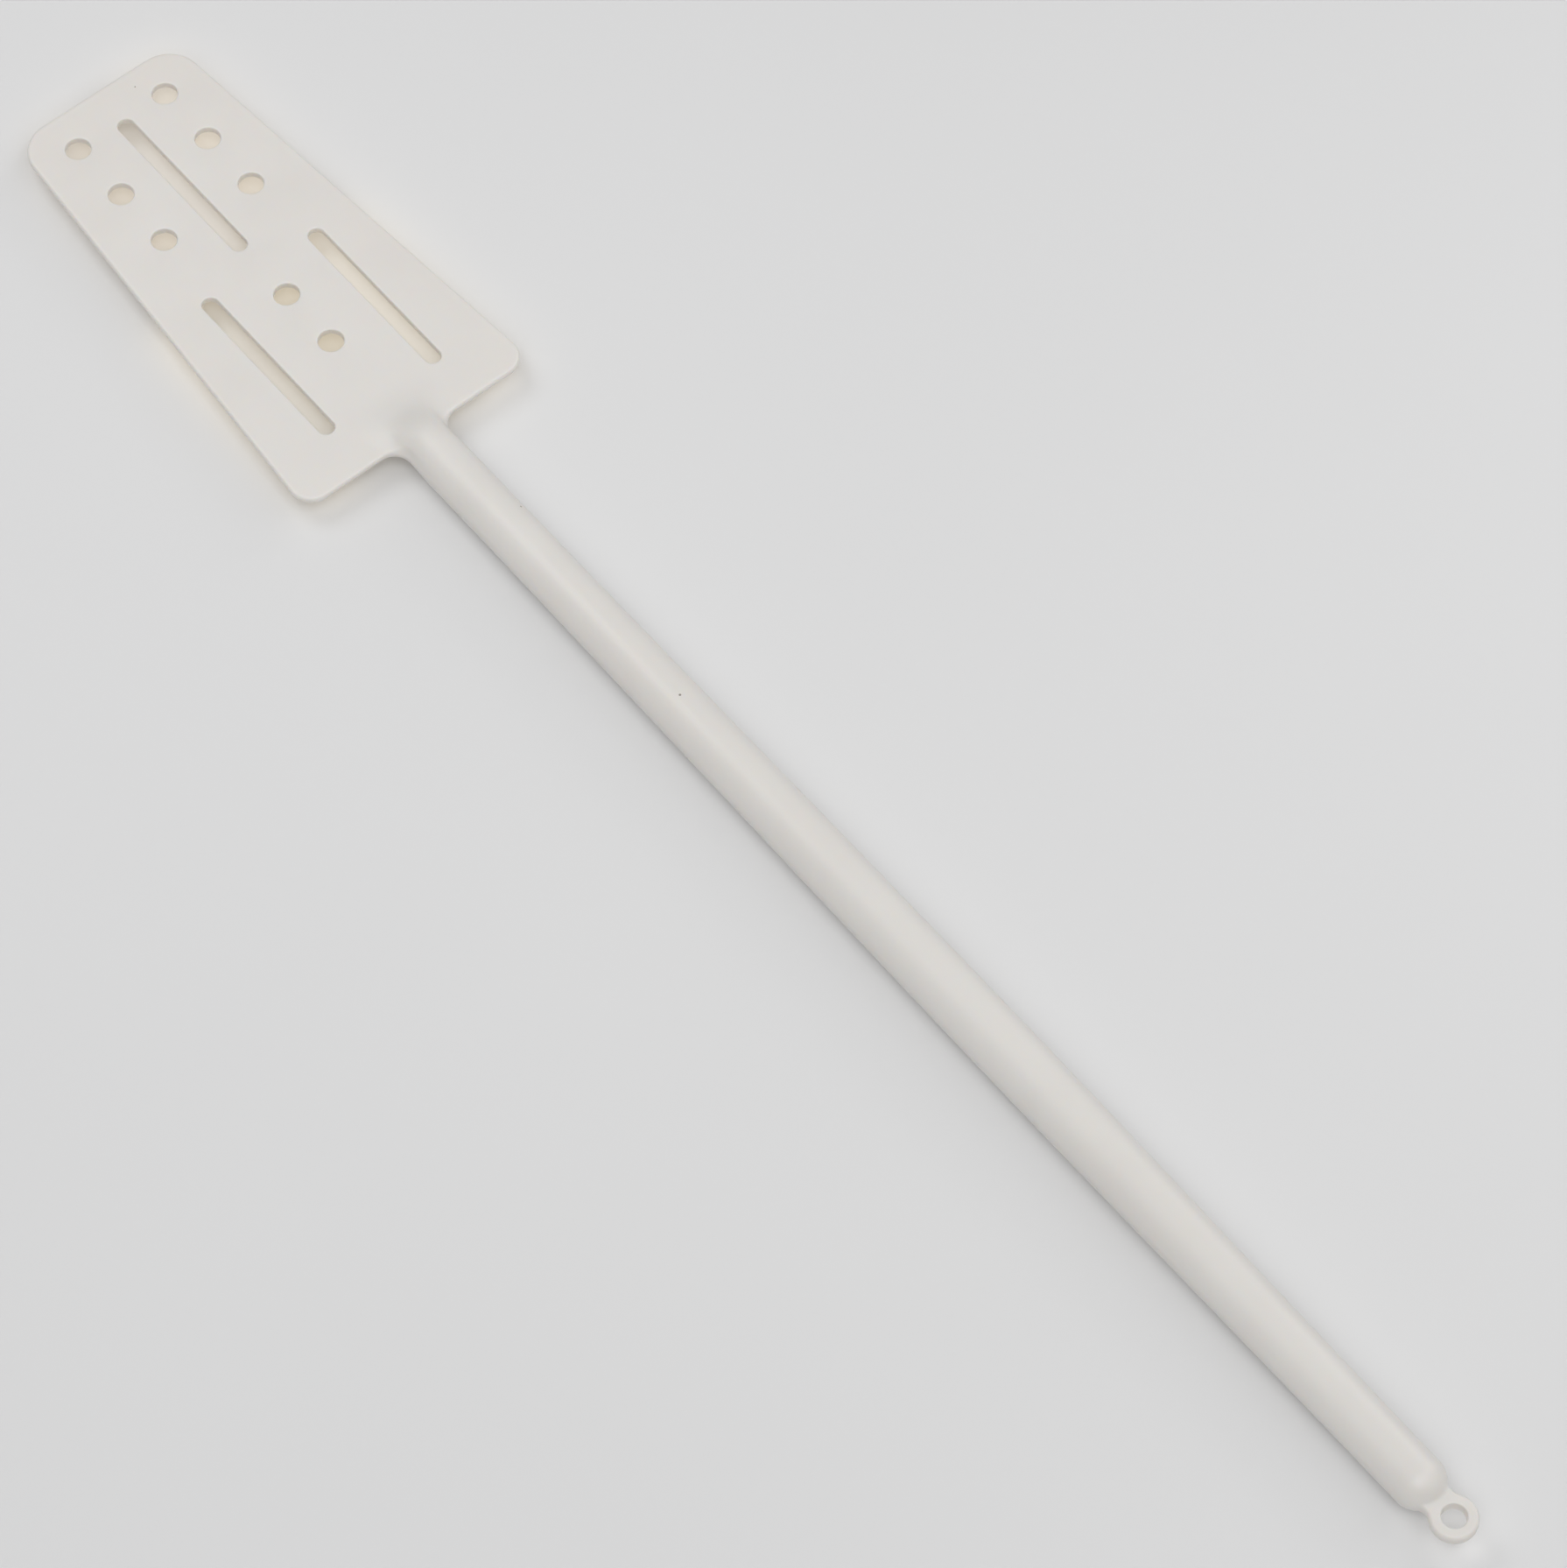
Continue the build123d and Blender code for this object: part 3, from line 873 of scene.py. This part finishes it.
def both_halves(name, upper, faces, count):
    """Mirrors the upper half, closes the wall between the halves and returns a mesh in metres."""
    lower = upper * (1, 1, -1)
    co = np.vstack((upper, lower)) * MM + (TIP_X, 0, AXIS_Z)
    n = len(upper)
    all_faces = faces + [[i + n for i in reversed(face)] for face in faces]
    all_faces += [[i, i + n, i + n + 1, i + 1] for i in range(count - 1)]
    mesh = bpy.data.meshes.new(name)
    mesh.from_pydata([tuple(c) for c in co], [], all_faces)
    mesh.materials.append(ivory)
    return mesh


ROW_SPACING = 0.866        # of a step, which makes triangles with equal sides


def grid(x_low, x_high, y_reach, step):
    """Offset rows of points for the curved part of an end."""
    rows = np.arange(-y_reach, y_reach + step, step * ROW_SPACING)
    columns = np.arange(x_low, x_high, step)
    return np.array([(x + (step / 2 if i % 2 else 0), y) for i, y in enumerate(rows) for x in columns])


# %% [markdown]
# ### Both ends
# The rings near the outline sit at depths that fall on the facets of the tube, so that each end meets
# the tube point for point. The loose fill points are a little closer together in the small ring.

# %% Make both ends
def ring_depths(radius, count):
    """Depths that fall on the handle's own facets, so that the end meets the tube point for point."""
    return [radius * (1 - math.cos(2 * math.pi * k / FACETS)) for k in range(count)]


blade_end = both_halves("blade_end", *lifted_half(
    blade_outline(), ring_depths(NECK_R, 12), NECK_R, rim_loops(flow_rims, BLADE_HALF, blade_loops),
    BLADE_HALF, grid(RAMP_START - 1, HANDLE_START, y_reach=19.0, step=0.8), blade_height))
eye_end = both_halves("eye_end", *lifted_half(
    eye_outline(), ring_depths(EYE_CUT_R, 9), EYE_CUT_R, rim_loops(eye_rim, EYE_HALF, eye_loops),
    EYE_HALF, grid(EYE_CUT, LENGTH, y_reach=9.0, step=0.5), eye_height))
print("end faces:", len(blade_end.polygons), len(eye_end.polygons))

# %% [markdown]
# ## One skin
# The rims, the tube and the two ends share the points where they meet. They are put in one mesh, and
# points in the same place are merged. A mesh with no open edge is proof that everything met.

# %% Join the pieces into the moulding
SAME_PLACE = 3e-6          # metres
joined = bmesh.new()
for mesh in (blade_end, eye_end, flow_rims, eye_rim, tube):
    joined.from_mesh(mesh)
bmesh.ops.remove_doubles(joined, verts=joined.verts, dist=SAME_PLACE)
bmesh.ops.dissolve_degenerate(joined, edges=joined.edges, dist=1e-7)
open_edges = [e for e in joined.edges if len(e.link_faces) != 2]
bmesh.ops.recalc_face_normals(joined, faces=joined.faces)
if joined.calc_volume(signed=True) < 0:
    bmesh.ops.reverse_faces(joined, faces=joined.faces)
print("open edges:", len(open_edges))

skin = bpy.data.meshes.new("paddle_moulding")
joined.to_mesh(skin)
joined.free()
skin.materials.clear()
skin.materials.append(ivory)
skin.shade_smooth()
paddle = bpy.data.objects.new("paddle_moulding", skin)
bpy.context.scene.collection.objects.link(paddle)
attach(paddle, "root")
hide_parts("blade", "handle", "hanging_eye")
print("moulding:", len(skin.vertices), "points,", len(skin.polygons), "faces")

# %% [markdown]
# ## The core inside
# The steel tube and its plugs keep the exact shape that the design model gives them. They only get
# their finish, by their material slots, and so do the hidden nodes that the moulding stands for.

# %% Finish the design nodes that stay
core_finishes = {"core_tube": drawn_steel,
                 "core_plug_blade_end": plug_plastic,
                 "core_plug_eye_end": plug_plastic}
for name, node in frame["nodes"].items():
    for slot in node.material_slots:
        slot.material = core_finishes.get(name, ivory)
    print(name, "has", [slot.material.name for slot in node.material_slots])

# %% [markdown]
# ## Table and light
# The paddle is nearly as pale as the table, so the light has to draw it. Three wide soft panels in a
# row stand behind the viewer's shoulder and fill most shadows. Small weak lights at the right and the
# far left give the round handle its darker near flank and its thin contact line, and a small low one
# grazes the table. The sky is a plain soft white.

# %% Table
TABLE_REACH = 4.0
TABLE_GREY, TABLE_PALE = (0.790, 0.790, 0.792, 1), (0.810, 0.810, 0.812, 1)


def build_table():
    material, tree, shader, where = principled("table_top")
    cloud = add_node(tree, "ShaderNodeTexNoise", (1, 0), Scale=5.0, Detail=2.0)
    tree.links.new(where, cloud.inputs["Vector"])
    tint = mix_colour(tree, cloud.outputs["Fac"], TABLE_GREY, TABLE_PALE, (3, 0))
    tree.links.new(tint, shader.inputs["Base Color"])
    shader.inputs["Roughness"].default_value = 0.6
    shader.inputs["Specular IOR Level"].default_value = 0.25
    return material


table_mesh = bpy.data.meshes.new("table")
corners = [(-1, -1), (1, -1), (1, 1), (-1, 1)]
table_mesh.from_pydata([(x * TABLE_REACH, y * TABLE_REACH, 0) for x, y in corners], [], [(0, 1, 2, 3)])
table_mesh.materials.append(build_table())
table = bpy.data.objects.new("table", table_mesh)
bpy.context.scene.collection.objects.link(table)
print("table is", 2 * TABLE_REACH, "m wide")


# %% Lights
def soft_light(name, place, aim, size, power, tint=(1, 1, 1)):
    """Rectangular area light that faces its aim and can't be seen itself."""
    data = bpy.data.lights.new(name, "AREA")
    data.shape = "RECTANGLE"
    data.size, data.size_y = size
    data.energy = power
    data.color = tint
    light = bpy.data.objects.new(name, data)
    light.location = place
    light.rotation_euler = (Vector(place) - Vector(aim)).to_track_quat("Z", "Y").to_euler()
    light.visible_camera = False
    bpy.context.scene.collection.objects.link(light)
    return light


right_of_view = Vector((math.cos(CAMERA_TURN), math.sin(CAMERA_TURN), 0))
far_of_view = Vector((-math.sin(CAMERA_TURN), math.cos(CAMERA_TURN), 0))


def studio_light(name, turn, rise, power, size, distance):
    """Light at a turn from the right of the view, anticlockwise, and a rise above the table, in degrees."""
    turn, rise = math.radians(turn), math.radians(rise)
    level = right_of_view * math.cos(turn) + far_of_view * math.sin(turn)
    place = (level * math.cos(rise) + Vector((0, 0, math.sin(rise)))) * distance
    soft_light(name, place, (0, 0, 0), (size, size), power)


STUDIO_LIGHTS = (
    # name, turn, rise, watts, size and distance in metres
    ("shoulder_left", 240, 58, 15.9, 2.4, 3.5),
    ("shoulder_middle", 270, 58, 20.5, 2.4, 3.5),
    ("shoulder_right", 300, 58, 22.7, 2.4, 3.5),
    ("right", 0, 60, 3.4, 1.0, 2.5),
    ("low_right", 45, 25, 4.7, 1.0, 2.5),
    ("far_right", 45, 52, 0.47, 0.6, 1.4),
    ("far_left", 145, 53, 1.75, 0.5, 1.0),
    ("grazing", 15, 38, 0.49, 0.4, 0.73))
for light_row in STUDIO_LIGHTS:
    studio_light(*light_row)
print("studio lights:", len(STUDIO_LIGHTS))

# %% [markdown]
# A pale plastic blade this thin is not opaque: part of the light that falls on it comes out below,
# warmer than before, and fills its own shadow. Cycles takes subsurface scattering for a plain diffuse
# surface once a path has bounced off the table, so that light goes missing. It is put back as weak warm
# lights just under the blade, one under each web of plastic, and one under the ring. The gaps between
# them lie where the camera looks through the slots, because a slot has no plastic to glow.

# %% Light that comes through the blade and the ring
TIP_GLOW, SHOULDER_GLOW, EYE_GLOW = 1.20, 0.96, 0.75
PALE_WARM, WARM, NEARLY_WHITE = (1.0, 0.85, 0.63), (1.0, 0.84, 0.56), (1.0, 0.98, 0.94)
BELOW_SKIN = 0.15                         # gap between the plastic and the light under it
SHOULDER_WEBS = (76, 156)


def glow_under(name, along, across, half, strength, tint):
    """Light under a web of the paddle, facing the table. Places in mm, strength in watts a square metre."""
    length, width = (along[1] - along[0]) * MM, (across[1] - across[0]) * MM
    height = AXIS_Z - (half + BELOW_SKIN) * MM
    place = Vector((TIP_X + sum(along) / 2 * MM, sum(across) / 2 * MM, height))
    power = strength * length * width
    strip = soft_light(name, place, place - Vector((0, 0, 1)), (length, width), power, tint)
    strip.rotation_euler = (0, 0, 0)
    strip.visible_glossy = False
    print(name, f"{power * 1000:.2f} mW")


glow_under("through_tip_near", (-4, 76), (-22.5, -1.7), BLADE_HALF, TIP_GLOW, PALE_WARM)
glow_under("through_tip_far", (-5, 76), (7.3, 30.0), BLADE_HALF, TIP_GLOW, PALE_WARM)
glow_under("through_shoulder_near", SHOULDER_WEBS, (-37.0, -20.2), BLADE_HALF, SHOULDER_GLOW, WARM)
glow_under("through_shoulder_middle", SHOULDER_WEBS, (-13.4, 20.5), BLADE_HALF, SHOULDER_GLOW, WARM)
glow_under("through_shoulder_far", SHOULDER_WEBS, (24.3, 40.0), BLADE_HALF, SHOULDER_GLOW, WARM)
glow_under("through_ring", (596, 610), (-3.5, 8.5), EYE_HALF, EYE_GLOW, NEARLY_WHITE)

# %% [markdown]
# The sky stands for all the light that comes back from the walls of a bright room. The picture is shown
# with Blender's *Standard* view, because its filmic view would grey the pale plastic and the pale table.

# %% Sky
SKY_STRENGTH = 0.234
world = bpy.data.worlds.new("studio")
world.use_nodes = True
world.node_tree.nodes["Background"].inputs["Color"].default_value = (1.0, 1.0, 1.0, 1)
world.node_tree.nodes["Background"].inputs["Strength"].default_value = SKY_STRENGTH
bpy.context.scene.world = world
bpy.context.scene.view_settings.view_transform = "Standard"
print("sky strength:", SKY_STRENGTH)
